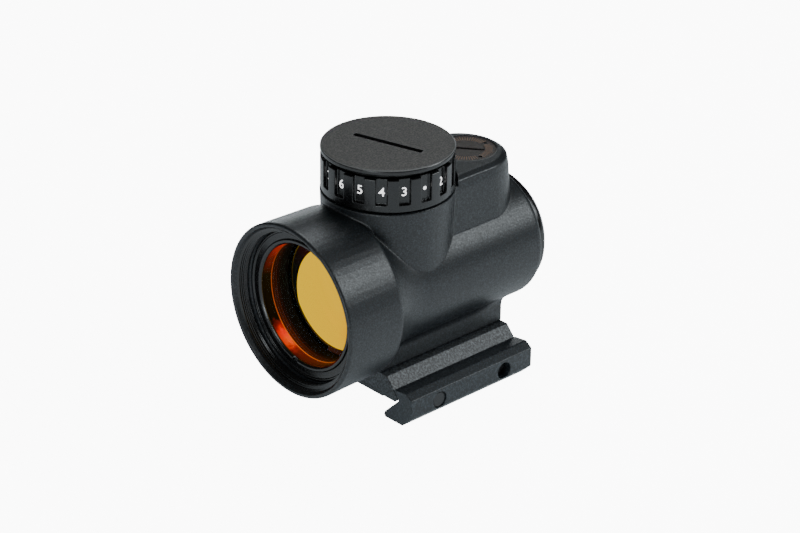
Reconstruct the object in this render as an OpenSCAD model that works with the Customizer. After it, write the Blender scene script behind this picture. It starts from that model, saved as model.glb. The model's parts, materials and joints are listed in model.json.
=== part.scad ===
// Tube-type red dot sight on a rail clamp.
// Origin: centre of the mount's seat face. +X towards the target, +Y left, +Z up.
// The optical axis runs along X at the height axis_z.

/* [Body] */
// Overall length along the optical axis
body_len = 66; // [65.5:0.5:68]
// Height of the optical axis above the rail seat
axis_z = 24.8; // [24.8:0.1:26]
// Outer radius of the front bell
bell_r = 20; // [19.8:0.1:20.5]
// Outer radius of the main tube
tube_r = 15.45; // [15.4:0.05:15.8]
// Height of the turret boss top above the rail seat
boss_top = 45.9; // [45.6:0.1:46.6]
// Height of the adjuster saddle top above the rail seat
saddle_top = 47.9; // [47.8:0.1:48.6]

/* [Brightness dial] */
// Outer radius of the dial
dial_r = 14.75; // [14.5:0.05:15]
// Number of flutes around the dial
flute_count = 18; // [8:2:24]
// Radius of the flute floors
flute_r = 13.9; // [13.7:0.1:14.2]
// Length of the coin slot in the battery cap
coin_slot_len = 17.2; // [10:0.2:20]

/* [Battery] */
// Diameter of the coin cell
cell_dia = 20; // [19.8:0.1:20.2]
// Thickness of the coin cell
cell_h = 3.2; // [3:0.1:3.2]

/* [Adjusters] */
// Outer radius of the scale ring around each adjuster
bezel_r = 6.8; // [6.6:0.1:7]
// Radius of the slotted adjuster
knob_r = 4.1; // [3.8:0.1:4.2]

/* [Mount] */
// Length of the mount base and clamp bar
mount_len = 37.5; // [36:0.5:40]
// Distance between the two clamp screws (two rail slots)
screw_pitch = 20; // [19.8:0.1:20.2]
// Radius of the clamp screws
screw_r = 1.95; // [1.8:0.05:2]

/* [Hidden] */
$fn = 96;
eps = 0.01;
front_x = 38.7;
rear_x = front_x - body_len;

// bell and tube profile
bell_back_r = bell_r - 0.35;
bell_back_x = 22.9;
blend_start_x = 12;
bell_round = 1.2;
rear_seam_x = rear_x + 3.4;
rear_seam_r = 14.3;

// bores along the optical axis
thread_r = 17.6;
thread_x = 36.4;
front_bore_r = 17.3;
front_bore_end = 21.6;
tube_bore_r = 14;
rear_seat_r = 13.75;
rear_seat_x = rear_x + 6.3;
rear_stop_r = 12.9;

// front glass, retaining ring and baffle ring
glass_r = 15.6;
glass_front = 34;
glass_back = 31.8;
ring_front = 34.8;
ring_lip_r = 14;
baffle_r = 13.8;
baffle_back = 27;

// gimbal
pivot_x = 23.6;
gimbal_w = 3;
carrier_in = 16.3;
gimbal_out = 15.95;
gimbal_in = 14.95;
cell_out = 14.6;
pin_r = 0.6;
pin_run = 0.05;

// inner tube
inner_r = 12.6;
inner_wall = 0.8;
inner_end = rear_x + 7.9;
lens_r = 13.4;
lens_clear = 13.05;
lens_front = 25.7;
cell_front = 26.2;

// turret
turret_x = 10.1;
boss_r = 14.85;
boss_foot_r = 14.25;
dial_z = boss_top + 0.3;
dial_top = dial_z + 7.8;
sleeve_r = 10.6;
sleeve_bore_r = 10.65;
sleeve_end = boss_top - 3;
board_z = boss_top - 4.7;
cap_z = dial_top + 1;
cap_top = cap_z + 1.2;
cap_r = dial_r + 0.03;
pocket_r = cell_dia / 2 + 0.25;
pocket_z = dial_z + 1.4;
cell_z = pocket_z + 0.7;
cap_neck_r = 12.45;
snap_z = boss_top - 2.1;
ball_orbit = 12.6;
ball_r = 0.8;
ball_z = boss_top - 0.15;
flute_angle = 2.2;

// adjusters: each stack is described by its distance from the optical axis
adjust_x = -13.6;
saddle_x = -11.9;
saddle_half = 10.7;
elev_face = saddle_top - axis_z;
wind_face = 20.4;
tip_gap = 0.03;

// mount
base_h = 5.6;
neck_half = 7.8;
neck_fillet = 3;
seat_half = 8.5;
seat_relief = 0.25;
hole_z = -0.25;
jaw_out = -17.8;
head_h = 2.2;
head_r = 3.4;
washer_h = 0.6;
bar_gap = 0.15;
mount_screw_x = 14.8;
mount_screw_y = 4.6;

// Revolves a profile of [x, r] points about the optical axis.
module turned(profile) {
    translate([0, 0, axis_z]) rotate([0, 90, 0]) rotate_extrude()
        polygon([for (p = profile) [p[1], p[0]]]);
}

// A plain ring about the optical axis from x0 to x1.
module ring_x(x0, x1, r_in, r_out) {
    turned([[x0, r_in], [x1, r_in], [x1, r_out], [x0, r_out]]);
}

// Revolves a profile of [r, z] points about the vertical turret axis.
module turret(profile) {
    translate([turret_x, 0, 0]) rotate_extrude() polygon(profile);
}

// A rod along Y through (x, z) from y0 to y1.
module rod_y(x, z, y0, y1, r) {
    translate([x, y0, z]) rotate([-90, 0, 0]) cylinder(r = r, h = y1 - y0);
}

// Points of an arc about (cx, cy) from angle a0 to a1.
function arc(cx, cy, r, a0, a1, n = 8) =
    [for (i = [0 : n]) let (a = a0 + (a1 - a0) * i / n) [cx + r * cos(a), cy + r * sin(a)]];

// Stands an adjuster part, drawn along +Z from the optical axis, on top or on the right side.
module on_top() { translate([adjust_x, 0, axis_z]) children(); }
module on_side() { translate([adjust_x, 0, axis_z]) rotate([90, 0, 0]) children(); }

// ---- housing ----

// The concave sweep from the tube up to the back of the bell.
blend_dx = bell_back_x - 0.6 - blend_start_x;
blend_dr = bell_back_r - bell_round - tube_r;
blend_arc_r = (blend_dx * blend_dx + blend_dr * blend_dr) / (2 * blend_dr);
blend_angle = asin(blend_dx / blend_arc_r);

module outer_shell() {
    turned(concat(
        [[rear_seam_x, 0], [rear_seam_x, rear_seam_r]],
        [for (i = [0 : 6]) let (a = 90 * i / 6)
            [rear_seam_x + 1.6 * (1 - cos(a)), rear_seam_r + (tube_r - rear_seam_r) * sin(a)]],
        [for (i = [0 : 12]) let (a = blend_angle * i / 12)
            [blend_start_x + blend_arc_r * sin(a), tube_r + blend_arc_r * (1 - cos(a))]],
        [for (i = [1 : 6]) let (a = 90 * i / 6)
            [bell_back_x - 0.6 + 1.6 * (1 - cos(a)), bell_back_r - bell_round * (1 - sin(a))]],
        [[front_x - 0.35, bell_r], [front_x, bell_r - 0.35], [front_x, 0]]));
}

module boss() {
    translate([turret_x, 0, axis_z + 3.6])
        cylinder(r1 = boss_foot_r, r2 = boss_r, h = boss_top - axis_z - 3.6);
}

// Saddle outline across its width; the draft and the bevelled top edge are the same all round.
saddle_side = [[0, axis_z], [saddle_half + 1.3, axis_z], [saddle_half + 0.8, axis_z + 11.2],
    [saddle_half + 0.1, saddle_top - 2.9], [saddle_half - 0.3, saddle_top - 0.8],
    [saddle_half - 1.5, saddle_top], [0, saddle_top]];

module saddle() {
    translate([saddle_x, 0, 0]) rotate_extrude() polygon(saddle_side);
    translate([saddle_x, 0, 0]) rotate([90, 0, 90]) linear_extrude(turret_x - saddle_x)
        polygon(concat(saddle_side, [for (i = [6 : -1 : 1]) [-saddle_side[i][0], saddle_side[i][1]]]));
}

module windage_boss() {
    on_side() rotate_extrude()
        polygon([[0, 4], [9.4, 4], [9, wind_face - 0.8], [8.2, wind_face], [0, wind_face]]);
}

// Neck between the tube and the mount base, with concave fillets up to the tube.
fillet_y = neck_half + neck_fillet;
fillet_z = axis_z - sqrt(pow(tube_r + neck_fillet, 2) - pow(fillet_y, 2));
fillet_end = atan2(axis_z - fillet_z, -fillet_y);
neck_right = concat([[0, base_h], [neck_half, base_h]],
    arc(fillet_y, fillet_z, neck_fillet, 180, fillet_end, 8));

module neck() {
    translate([-mount_len / 2, 0, 0]) rotate([90, 0, 90]) linear_extrude(mount_len)
        polygon(concat(neck_right, [[0, axis_z]],
            [for (i = [len(neck_right) - 1 : -1 : 1]) [-neck_right[i][0], neck_right[i][1]]]));
}

module optical_bore() {
    turned([[front_x + 1, 0], [front_x + 1, bell_r - 0.4], [front_x, bell_r - 0.9],
        [37.1, 18.1], [thread_x, thread_r], [ring_front, thread_r], [ring_front, front_bore_r],
        [front_bore_end, front_bore_r], [front_bore_end, tube_bore_r],
        [rear_seat_x + 0.8, tube_bore_r], [rear_seat_x + 0.8, rear_stop_r],
        [rear_seat_x, rear_stop_r], [rear_seat_x, rear_seat_r],
        [rear_x - 1, rear_seat_r], [rear_x - 1, 0]]);
}

// Stepped hole for an adjuster whose outer face is at the distance face from the axis.
module adjuster_bore(face) {
    translate([0, 0, face - 2.2]) cylinder(r = bezel_r + 0.03, h = 4);
    translate([0, 0, face - 3.4]) cylinder(r = 5.6, h = 4);
    translate([0, 0, face - 5.8]) cylinder(r = 3, h = 4);
    translate([0, 0, 12]) cylinder(r = 1.6, h = face - 14);
}

module housing() {
    color("#2c3136") difference() {
        union() {
            outer_shell();
            boss();
            saddle();
            windage_boss();
            neck();
        }
        optical_bore();
        // clearance for the dial beside the saddle
        turret([[0, boss_top], [15.3, boss_top], [15.3, 60], [0, 60]]);
        // dial bore, snap ring groove, board ledge and component pocket
        turret([[0, board_z], [sleeve_bore_r, board_z], [sleeve_bore_r, snap_z],
            [11.1, snap_z], [11.1, snap_z + 0.8], [sleeve_bore_r, snap_z + 0.8],
            [sleeve_bore_r, 60], [0, 60]]);
        turret([[0, board_z - 1.2], [8.4, board_z - 1.2], [8.4, board_z + 1], [0, board_z + 1]]);
        // slot for the flex cable down to the tube bore
        translate([turret_x - 6, -1.6, axis_z + 12]) cube([1.2, 3.2, 5]);
        // blind hole of the dial detent
        translate([turret_x, -ball_orbit, ball_z - 3.2]) cylinder(r = ball_r + 0.05, h = 5);
        for (s = [-1, 1]) translate([turret_x, s * 9.5, board_z - 3]) cylinder(r = 0.5, h = 4);
        on_top() adjuster_bore(elev_face);
        on_side() adjuster_bore(wind_face);
        for (x = [-1, 1], y = [-1, 1])
            translate([x * mount_screw_x, y * mount_screw_y, 4]) cylinder(r = 1.25, h = 5.6);
    }
}

// ---- front optics ----

module lens_retaining_ring() {
    color("#1b1c1e") difference() {
        turned([[glass_front - 0.8, glass_r + 0.15], [glass_front, glass_r + 0.15],
            [glass_front, ring_lip_r + 0.1], [ring_front - 0.35, ring_lip_r],
            [ring_front, ring_lip_r + 0.35], [ring_front, front_bore_r - 0.05],
            [glass_front - 0.8, front_bore_r - 0.05]]);
        for (a = [80, 260]) translate([ring_front, 0, axis_z]) rotate([a, 0, 0])
            translate([-0.45, ring_lip_r - 1, -0.6]) cube([1, 1.9, 1.2]);
    }
}

module objective_window() {
    color("#d8a03a") ring_x(glass_back, glass_front, 0, glass_r);
}

module objective_seal() {
    color("#161616") ring_x(glass_back + 0.1, glass_front - 0.9, glass_r + 0.05, front_bore_r - 0.1);
}

// Threaded ring that clamps the gimbal carrier; its inner wall carries fine light baffles.
module baffle_ring() {
    teeth = 6;
    step = (glass_back - baffle_back - 0.8) / teeth;
    color("#1e1f21") turned(concat(
        [[pivot_x + gimbal_w / 2, carrier_in + 0.05], [baffle_back, carrier_in + 0.05],
            [baffle_back, baffle_r + 0.25]],
        [for (i = [0 : teeth - 1]) each [[baffle_back + step * i + 0.2, baffle_r],
            [baffle_back + step * (i + 1), baffle_r + 0.25]]],
        [[glass_back - 0.5, baffle_r], [glass_back, baffle_r + 0.1],
            [glass_back, front_bore_r - 0.05], [pivot_x + gimbal_w / 2, front_bore_r - 0.05]]));
}

// ---- gimbal ----

module gimbal_carrier() {
    color("#8d8f92") difference() {
        ring_x(front_bore_end, pivot_x + gimbal_w / 2, carrier_in, front_bore_r - 0.05);
        rod_y(pivot_x, axis_z, -20, 20, pin_r + eps);
    }
}

module gimbal_outer_pins() {
    color("#c9ccd0") for (s = [-1, 1])
        rod_y(pivot_x, axis_z, s > 0 ? gimbal_in + 0.2 : -front_bore_r + 0.1,
            s > 0 ? front_bore_r - 0.1 : -gimbal_in - 0.2, pin_r);
}

module gimbal_ring() {
    color("#9a8350") difference() {
        ring_x(pivot_x - gimbal_w / 2 + 0.2, pivot_x + gimbal_w / 2 - 0.2, gimbal_in, gimbal_out);
        rod_y(pivot_x, axis_z, -20, 20, pin_r + pin_run);
        translate([pivot_x, 0, axis_z - 20]) cylinder(r = pin_r + eps, h = 40);
    }
}

module gimbal_inner_pins() {
    color("#c9ccd0") for (s = [-1, 1]) translate([pivot_x, 0, axis_z]) rotate([s > 0 ? 0 : 180, 0, 0])
        translate([0, 0, 13.75]) cylinder(r = pin_r, h = gimbal_out - 0.1 - 13.75);
}

// ---- inner tube ----

module inner_tube() {
    color("#232527") difference() {
        turned([[inner_end, inner_r - inner_wall], [inner_end, inner_r], [21.7, inner_r],
            [22.2, cell_out], [cell_front, cell_out],
            [cell_front, lens_r + 0.05], [22.7, lens_r + 0.05], [22.7, lens_clear - 0.3],
            [22, inner_r - inner_wall]]);
        translate([pivot_x, 0, axis_z - 20]) cylinder(r = pin_r + pin_run, h = 40);
        // seat of the emitter block
        translate([0, 0, axis_z]) rotate([225, 0, 0])
            translate([emitter_x - 0.02, 10.6, -2.02]) cube([4.04, 3, 4.04]);
    }
}

module collimating_lens() {
    sag = 0.9;
    sphere_r = (lens_r * lens_r + sag * sag) / (2 * sag);
    color("#e6b93c") intersection() {
        ring_x(22.75, lens_front, 0, lens_r);
        translate([lens_front - sphere_r, 0, axis_z]) sphere(r = sphere_r, $fn = 200);
    }
}

module lens_cell_ring() {
    color("#17181a") turned([[lens_front - 0.85, lens_r], [cell_front, lens_r],
        [cell_front, lens_clear], [lens_front, lens_clear]]);
}

emitter_x = -15.5;
module emitter_block() {
    color("#2a2a2c") translate([0, 0, axis_z]) rotate([225, 0, 0]) difference() {
        union() {
            translate([emitter_x, 8.2, -1.5]) cube([4, 3.2, 3]);
            translate([emitter_x, 10.7, -2]) cube([4, 1.75, 4]);
        }
        translate([emitter_x + 3.2, 9.6, 0]) rotate([0, 90, 0]) cylinder(r = 0.75, h = 2);
        for (x = [0.8, 3.2]) translate([emitter_x + x, 11.3, 0])
            rotate([-90, 0, 0]) cylinder(r = 0.35, h = 3);
    }
}

module led_emitter() {
    color("#d8342a") translate([emitter_x + 3.22, 0, axis_z]) rotate([225, 0, 0])
        translate([0, 9.6, 0]) rotate([0, 90, 0]) {
            cylinder(r = 0.7, h = 0.9);
            translate([0, 0, 0.9]) cylinder(r1 = 0.7, r2 = 0.3, h = 0.35);
        }
}

module emitter_screws() {
    color("#b9bcc0") translate([0, 0, axis_z]) rotate([225, 0, 0]) for (x = [0.8, 3.2])
        translate([emitter_x + x, 11.32, 0]) rotate([-90, 0, 0]) cylinder(r = 0.33, h = 1.1);
}

// Leaf spring opposite both adjusters; drawn pressed flat against the bore.
module bias_spring() {
    color("#a8acb0") translate([adjust_x - 4, 0, axis_z]) rotate([45, 0, 0]) rotate([90, 0, 90])
        linear_extrude(8) polygon(concat(arc(0, 0, 13.9, -118, -62, 16), arc(0, 0, 13.65, -62, -118, 16)));
}

// ---- rear window ----

module ocular_ring() {
    color("#2c3136") turned([[rear_seat_x - 1.9, 11.7], [rear_x + 0.9, 11.7], [rear_x, 11.95],
        [rear_x, 12.2], [rear_x + 0.2, 12.55], [rear_x + 1.7, rear_seam_r - 0.3],
        [rear_x + 2.1, rear_seam_r - 0.1], [rear_seam_x - 0.15, rear_seam_r],
        [rear_seam_x, rear_seam_r - 0.15], [rear_seam_x, rear_seat_r - 0.05],
        [rear_seat_x - 1.9, rear_seat_r - 0.05]]);
}

module ocular_window() {
    color("#9fb4b8") ring_x(rear_seat_x - 1.5, rear_seat_x, 0, rear_seat_r - 0.15);
}

module ocular_seal() {
    color("#161616") ring_x(rear_seat_x - 1.9, rear_seat_x - 1.5, 12.3, rear_seat_r - 0.15);
}

// ---- adjusters ----

module bezel(face) {
    difference() {
        translate([0, 0, face - 2.2]) cylinder(r = bezel_r, h = 2);
        translate([0, 0, face - 5]) cylinder(r = knob_r + 0.06, h = 8);
        for (a = [83 : 90 : 353]) rotate([0, 0, a]) translate([5.3, 0, face - 1.2]) cylinder(r = 0.45, h = 3);
    }
}

module knob(face) {
    difference() {
        union() {
            translate([0, 0, face - 2.9]) cylinder(r = knob_r, h = 2.7);
            translate([0, 0, face - 3.35]) cylinder(r = 5.4, h = 1);
            translate([0, 0, face - 5.7]) cylinder(r = 2.95, h = 2.7);
        }
        rotate([0, 0, 129]) translate([-5, -0.45, face - 1.1]) cube([10, 0.9, 3]);
        translate([0, 0, face - 6]) cylinder(r = 1.55, h = 3.6);
        translate([0, 0, face - 5]) difference() {
            cylinder(r = 4, h = 0.8);
            translate([0, 0, -1]) cylinder(r = 2.4, h = 3);
        }
    }
}

module knob_o_ring(face) {
    translate([0, 0, face - 4.6]) rotate_extrude() translate([2.68, 0]) circle(r = 0.27, $fn = 24);
}

// Non-turning screw that the knob drives; its round tip bears on the inner tube.
module plunger(face) {
    tip = inner_r + tip_gap;
    intersection() {
        translate([0, 0, tip]) cylinder(r = 1.5, h = face - 3.3 - tip);
        translate([0, 0, tip + 3]) union() {
            sphere(r = 3, $fn = 64);
            cylinder(r = 3, h = 10);
        }
    }
}

module elevation_bezel() { color("#4a4440") on_top() bezel(elev_face); }
module elevation_knob() { color("#4a4440") on_top() knob(elev_face); }
module elevation_o_ring() { color("#161616") on_top() knob_o_ring(elev_face); }
module elevation_plunger() { color("#b58a3c") on_top() plunger(elev_face); }
module windage_bezel() { color("#4a4440") on_side() bezel(wind_face); }
module windage_knob() { color("#4a4440") on_side() knob(wind_face); }
module windage_o_ring() { color("#161616") on_side() knob_o_ring(wind_face); }
module windage_plunger() { color("#b58a3c") on_side() plunger(wind_face); }

// ---- brightness dial and battery ----

module brightness_dial() {
    land = 360 / flute_count / 4;
    color("#1a1b1d") difference() {
        turret([[sleeve_r, sleeve_end], [sleeve_r, snap_z - 0.1], [9.95, snap_z - 0.1],
            [9.95, snap_z + 0.9], [sleeve_r, snap_z + 0.9], [sleeve_r, boss_top - 0.85],
            [10.05, boss_top - 0.85], [10.05, boss_top - 0.1], [sleeve_r, boss_top - 0.1],
            [sleeve_r, dial_z], [dial_r - 0.25, dial_z], [dial_r, dial_z + 0.25],
            [dial_r, dial_top - 0.2], [dial_r - 0.2, dial_top], [12.5, dial_top],
            [12.5, dial_top - 2.3], [pocket_r, dial_top - 2.3], [pocket_r, pocket_z],
            [2.25, pocket_z], [2.25, dial_z], [9.2, dial_z], [9.2, sleeve_end]]);
        translate([turret_x, 0, dial_z + 1.8]) for (i = [0 : flute_count - 1])
            rotate([0, 0, flute_angle + 360 / flute_count * i]) linear_extrude(10)
                polygon([[flute_r, -flute_r * tan(land)], [16, -16 * tan(land)],
                    [16, 16 * tan(land)], [flute_r, flute_r * tan(land)]]);
        // running track of the detent ball
        translate([turret_x, 0, ball_z]) rotate_extrude() translate([ball_orbit, 0]) circle(r = ball_r + 0.06);
    }
}

module dial_o_ring() {
    color("#161616") translate([turret_x, 0, boss_top - 0.47]) rotate_extrude()
        translate([10.33, 0]) circle(r = 0.27, $fn = 24);
}

module dial_snap_ring() {
    color("#b9bcc0") difference() {
        turret([[10.1, snap_z + 0.1], [11.05, snap_z + 0.1], [11.05, snap_z + 0.7], [10.1, snap_z + 0.7]]);
        translate([turret_x - 14, -1.2, snap_z - 1]) cube([8, 2.4, 3]);
    }
}

module detent_ball() {
    color("#c9ccd0") translate([turret_x, -ball_orbit, ball_z]) sphere(r = ball_r, $fn = 48);
}

module detent_spring() {
    turns = 4;
    color("#a8acb0") for (i = [0 : turns - 1])
        translate([turret_x, -ball_orbit, ball_z - 3.05 + 0.52 * i]) rotate_extrude()
            translate([0.5, 0]) circle(r = 0.14, $fn = 24);
}

module battery_cap() {
    color("#4c4945") difference() {
        turret([[0, cap_top], [cap_r - 0.3, cap_top], [cap_r, cap_top - 0.3], [cap_r, cap_z + 0.15],
            [cap_r - 0.15, cap_z], [cap_neck_r, cap_z], [cap_neck_r, dial_top - 2.2],
            [11.2, dial_top - 2.2], [11.2, cap_z - 0.6], [0, cap_z - 0.6]]);
        translate([turret_x, 0, cap_top - 0.9]) rotate([0, 0, 106.5])
            translate([-coin_slot_len / 2, -0.7, 0]) cube([coin_slot_len, 1.4, 3]);
    }
}

module cap_o_ring() {
    color("#101010") translate([turret_x, 0, dial_top + 0.5]) rotate_extrude()
        translate([13.1, 0]) circle(r = 0.48, $fn = 32);
}

// Dished leaf under the cap that presses on the cell's case.
module cap_contact() {
    color("#c8a24a") difference() {
        turret([[0, cap_z - 0.8], [0, cap_z - 0.6], [2.6, cap_z - 0.6], [7.2, cell_z + cell_h + 0.25],
            [8, cell_z + cell_h + 0.25], [8, cell_z + cell_h + 0.05], [7, cell_z + cell_h + 0.05],
            [2.4, cap_z - 0.8]]);
        for (a = [0, 60, 120]) translate([turret_x, 0, cell_z]) rotate([0, 0, a])
            difference() {
                translate([-9, -0.5, 0]) cube([18, 1, 9]);
                translate([-3.4, -1, -1]) cube([6.8, 2, 12]);
            }
    }
}

module battery() {
    color("#c4c6c8") turret([[0, cell_z], [8.7, cell_z], [8.9, cell_z + 0.35], [cell_dia / 2 - 0.3, cell_z + 0.35],
        [cell_dia / 2, cell_z + 0.65], [cell_dia / 2, cell_z + cell_h - 0.2],
        [cell_dia / 2 - 0.2, cell_z + cell_h], [0, cell_z + cell_h]]);
}

// Sprung finger disc under the cell.
module battery_contact() {
    color("#c8a24a") difference() {
        turret([[1.25, pocket_z + 0.25], [1.25, pocket_z + 0.4], [2.6, pocket_z + 0.4],
            [6, cell_z - 0.02], [6.8, cell_z - 0.02], [6.8, cell_z - 0.17], [6.1, cell_z - 0.17],
            [2.7, pocket_z + 0.25]]);
        for (a = [0, 90]) translate([turret_x, 0, pocket_z]) rotate([0, 0, a])
            difference() {
                translate([-8, -0.6, 0]) cube([16, 1.2, 3]);
                translate([-3.2, -1, -1]) cube([6.4, 2, 5]);
            }
    }
}

module contact_stud() {
    color("#b58a3c") turret([[0, dial_z - 0.75], [1.8, dial_z - 0.75], [1.8, dial_z - 0.45],
        [1.2, dial_z - 0.45], [1.2, pocket_z + 0.4], [1.9, pocket_z + 0.4], [1.7, pocket_z + 0.6],
        [0, pocket_z + 0.6]]);
}

module contact_insulator() {
    color("#e8e4d8") turret([[1.22, dial_z - 0.25], [3.4, dial_z - 0.25], [3.4, dial_z - 0.02],
        [2.2, dial_z - 0.02], [2.2, pocket_z + 0.02], [3.4, pocket_z + 0.02], [3.4, pocket_z + 0.22],
        [1.22, pocket_z + 0.22]]);
}

// Three-armed wiper that turns with the dial over the tracks of the board.
module wiper() {
    color("#c8a24a") difference() {
        union() {
            turret([[1.22, dial_z - 0.44], [3, dial_z - 0.44], [3, dial_z - 0.29], [1.22, dial_z - 0.29]]);
            for (a = [0 : 120 : 240]) translate([turret_x, 0, 0]) rotate([0, 0, a + 30])
                rotate([90, 0, 0]) translate([0, 0, -0.5]) linear_extrude(1)
                    polygon([[2, dial_z - 0.44], [4, dial_z - 0.44], [7.4, board_z + 1.02],
                        [8, board_z + 1.02], [8, board_z + 1.17], [7.5, board_z + 1.17],
                        [4.1, dial_z - 0.29], [2, dial_z - 0.29]]);
        }
    }
}

module circuit_board() {
    color("#1f5a3a") difference() {
        turret([[0, board_z], [sleeve_bore_r - 0.1, board_z], [sleeve_bore_r - 0.1, board_z + 1], [0, board_z + 1]]);
        for (s = [-1, 1]) translate([turret_x, s * 9.5, board_z - 1]) cylinder(r = 0.55, h = 4);
    }
}

module driver_chip() {
    color("#202020") translate([turret_x - 1, -2, board_z - 0.9]) cube([4, 4, 0.88]);
}

module chip_resistors() {
    color("#3a3a3a") for (i = [0 : 3])
        translate([turret_x + 4.2, -3.2 + 1.8 * i, board_z - 0.5]) cube([1.6, 0.8, 0.48]);
}

module board_screws() {
    color("#b9bcc0") for (s = [-1, 1]) translate([turret_x, s * 9.5, 0]) {
        translate([0, 0, board_z - 2.6]) cylinder(r = 0.48, h = 3.7);
        translate([0, 0, board_z + 1.02]) cylinder(r = 0.9, h = 0.5);
    }
}

// Flat cable from the board, down through the slot and back along the crown of the bore.
module flex_cable() {
    color("#b5702a") {
        translate([turret_x - 5.75, -1.2, axis_z + 13.68]) cube([0.2, 2.4, board_z - axis_z - 13.7]);
        translate([adjust_x + 3, -1.2, axis_z + 13.68]) cube([turret_x - 5.55 - adjust_x - 3, 2.4, 0.2]);
    }
}

// ---- rail mount ----

// Outline of the base: left flank open for the clamp bar, right side a fixed jaw.
base_outline = [[-seat_half, 0], [seat_half, 0], [seat_half, seat_relief], [12.5, seat_relief],
    [13.5, 1.1], [11.8, 3.3], [9.7, base_h], [-12, base_h], [-15.9, 3.7], [jaw_out, 2.45],
    [jaw_out, -2.05], [-15, -4.8], [-9.4, -4.8], [-9.1, -4.3], [-13.4 - seat_relief, seat_relief],
    [-seat_half, seat_relief]];

module mount_base() {
    color("#33373b") difference() {
        translate([-mount_len / 2, 0, 0]) rotate([90, 0, 90]) linear_extrude(mount_len) polygon(base_outline);
        for (s = [-1, 1]) rod_y(s * screw_pitch / 2, hole_z, -30, 30, screw_r + 0.15);
        for (x = [-1, 1], y = [-1, 1]) translate([x * mount_screw_x, y * mount_screw_y, 0]) {
            translate([0, 0, -1]) cylinder(r = 1.6, h = 9);
            translate([0, 0, -1]) cylinder(r = 2.6, h = 3.4);
        }
    }
}

module mount_screws() {
    color("#3a3c3e") for (x = [-1, 1], y = [-1, 1])
        translate([x * mount_screw_x, y * mount_screw_y, 0]) difference() {
            union() {
                translate([0, 0, 0.4]) cylinder(r = 2.45, h = 2);
                translate([0, 0, 2.3]) cylinder(r = 1.23, h = 7.1);
            }
            translate([0, 0, -1]) cylinder(r = 1.15, h = 2.5, $fn = 6);
        }
}

// Outline of the clamp bar; its lip face leans at 45 degrees under the rail's edge.
bar_outline = [[11.8 + bar_gap + 0.2, 3.2], [15.9, 3.7], [17.8, 2.45], [17.85, -2.05], [14.96, -4.8],
    [9.4, -4.85], [8.9, -4.3], [9.25, -3.4], [13.5 + bar_gap + 0.04, 1.0]];

module clamp_bar() {
    corner = 0.35;
    color("#3f454a") difference() {
        translate([-mount_len / 2, 0, 0]) rotate([90, 0, 90]) linear_extrude(mount_len) polygon(bar_outline);
        for (s = [-1, 1]) rod_y(s * screw_pitch / 2, hole_z, -30, 30, screw_r + 0.03);
        for (s = [-1, 1]) translate([s * mount_len / 2, 18, -6]) rotate([0, 0, 45])
            cube([corner * 1.41, corner * 1.41, 30], center = true);
    }
}

// Socket screw along +Y with its head against the fixed jaw.
module clamp_screw(x, end_y) {
    difference() {
        union() {
            rod_y(x, hole_z, jaw_out - washer_h, end_y, screw_r);
            rod_y(x, hole_z, jaw_out - washer_h - head_h, jaw_out - washer_h, head_r - 0.2);
        }
        translate([x, jaw_out - washer_h - head_h - 1, hole_z]) rotate([-90, 0, 0])
            cylinder(r = 1.45, h = 2.4, $fn = 6);
        translate([x, end_y - 0.35, hole_z]) rotate([-90, 0, 0]) difference() {
            cylinder(r = screw_r + 1, h = 1);
            translate([0, 0, -1]) cylinder(r = screw_r - 0.3, h = 3);
        }
    }
}

module clamp_screw_front() { color("#2b2d2f") clamp_screw(screw_pitch / 2, 17.5); }
module clamp_screw_rear() { color("#2b2d2f") clamp_screw(-screw_pitch / 2, 15.9); }

module clamp_washers() {
    color("#2b2d2f") for (s = [-1, 1]) difference() {
        rod_y(s * screw_pitch / 2, hole_z, jaw_out - washer_h, jaw_out, head_r);
        rod_y(s * screw_pitch / 2, hole_z, -30, 30, screw_r + 0.12);
    }
}

housing();
lens_retaining_ring();
objective_window();
objective_seal();
baffle_ring();
gimbal_carrier();
gimbal_outer_pins();
gimbal_ring();
gimbal_inner_pins();
inner_tube();
collimating_lens();
lens_cell_ring();
emitter_block();
led_emitter();
emitter_screws();
bias_spring();
ocular_ring();
ocular_window();
ocular_seal();
elevation_bezel();
elevation_knob();
elevation_o_ring();
elevation_plunger();
windage_bezel();
windage_knob();
windage_o_ring();
windage_plunger();
brightness_dial();
dial_o_ring();
dial_snap_ring();
detent_ball();
detent_spring();
battery_cap();
cap_o_ring();
cap_contact();
battery();
battery_contact();
contact_stud();
contact_insulator();
wiper();
circuit_board();
driver_chip();
chip_resistors();
board_screws();
flex_cable();
mount_base();
mount_screws();
clamp_bar();
clamp_screw_front();
clamp_screw_rear();
clamp_washers();
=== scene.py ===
# %% [markdown]
# # A compact tube sight on a rail clamp
#
# This lesson dresses a finished mechanical model of a small red dot finder. The model comes
# in as a fixed frame of separate parts that already fit and move, so nothing here resizes or
# shifts them. Each step takes one real piece, says how it was made, and gives it either a
# better mesh in the same place or a better finish on the mesh it has.

# %% Load the frame
import json
import math

import bmesh
import bpy
from mathutils import Matrix, Vector


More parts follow.
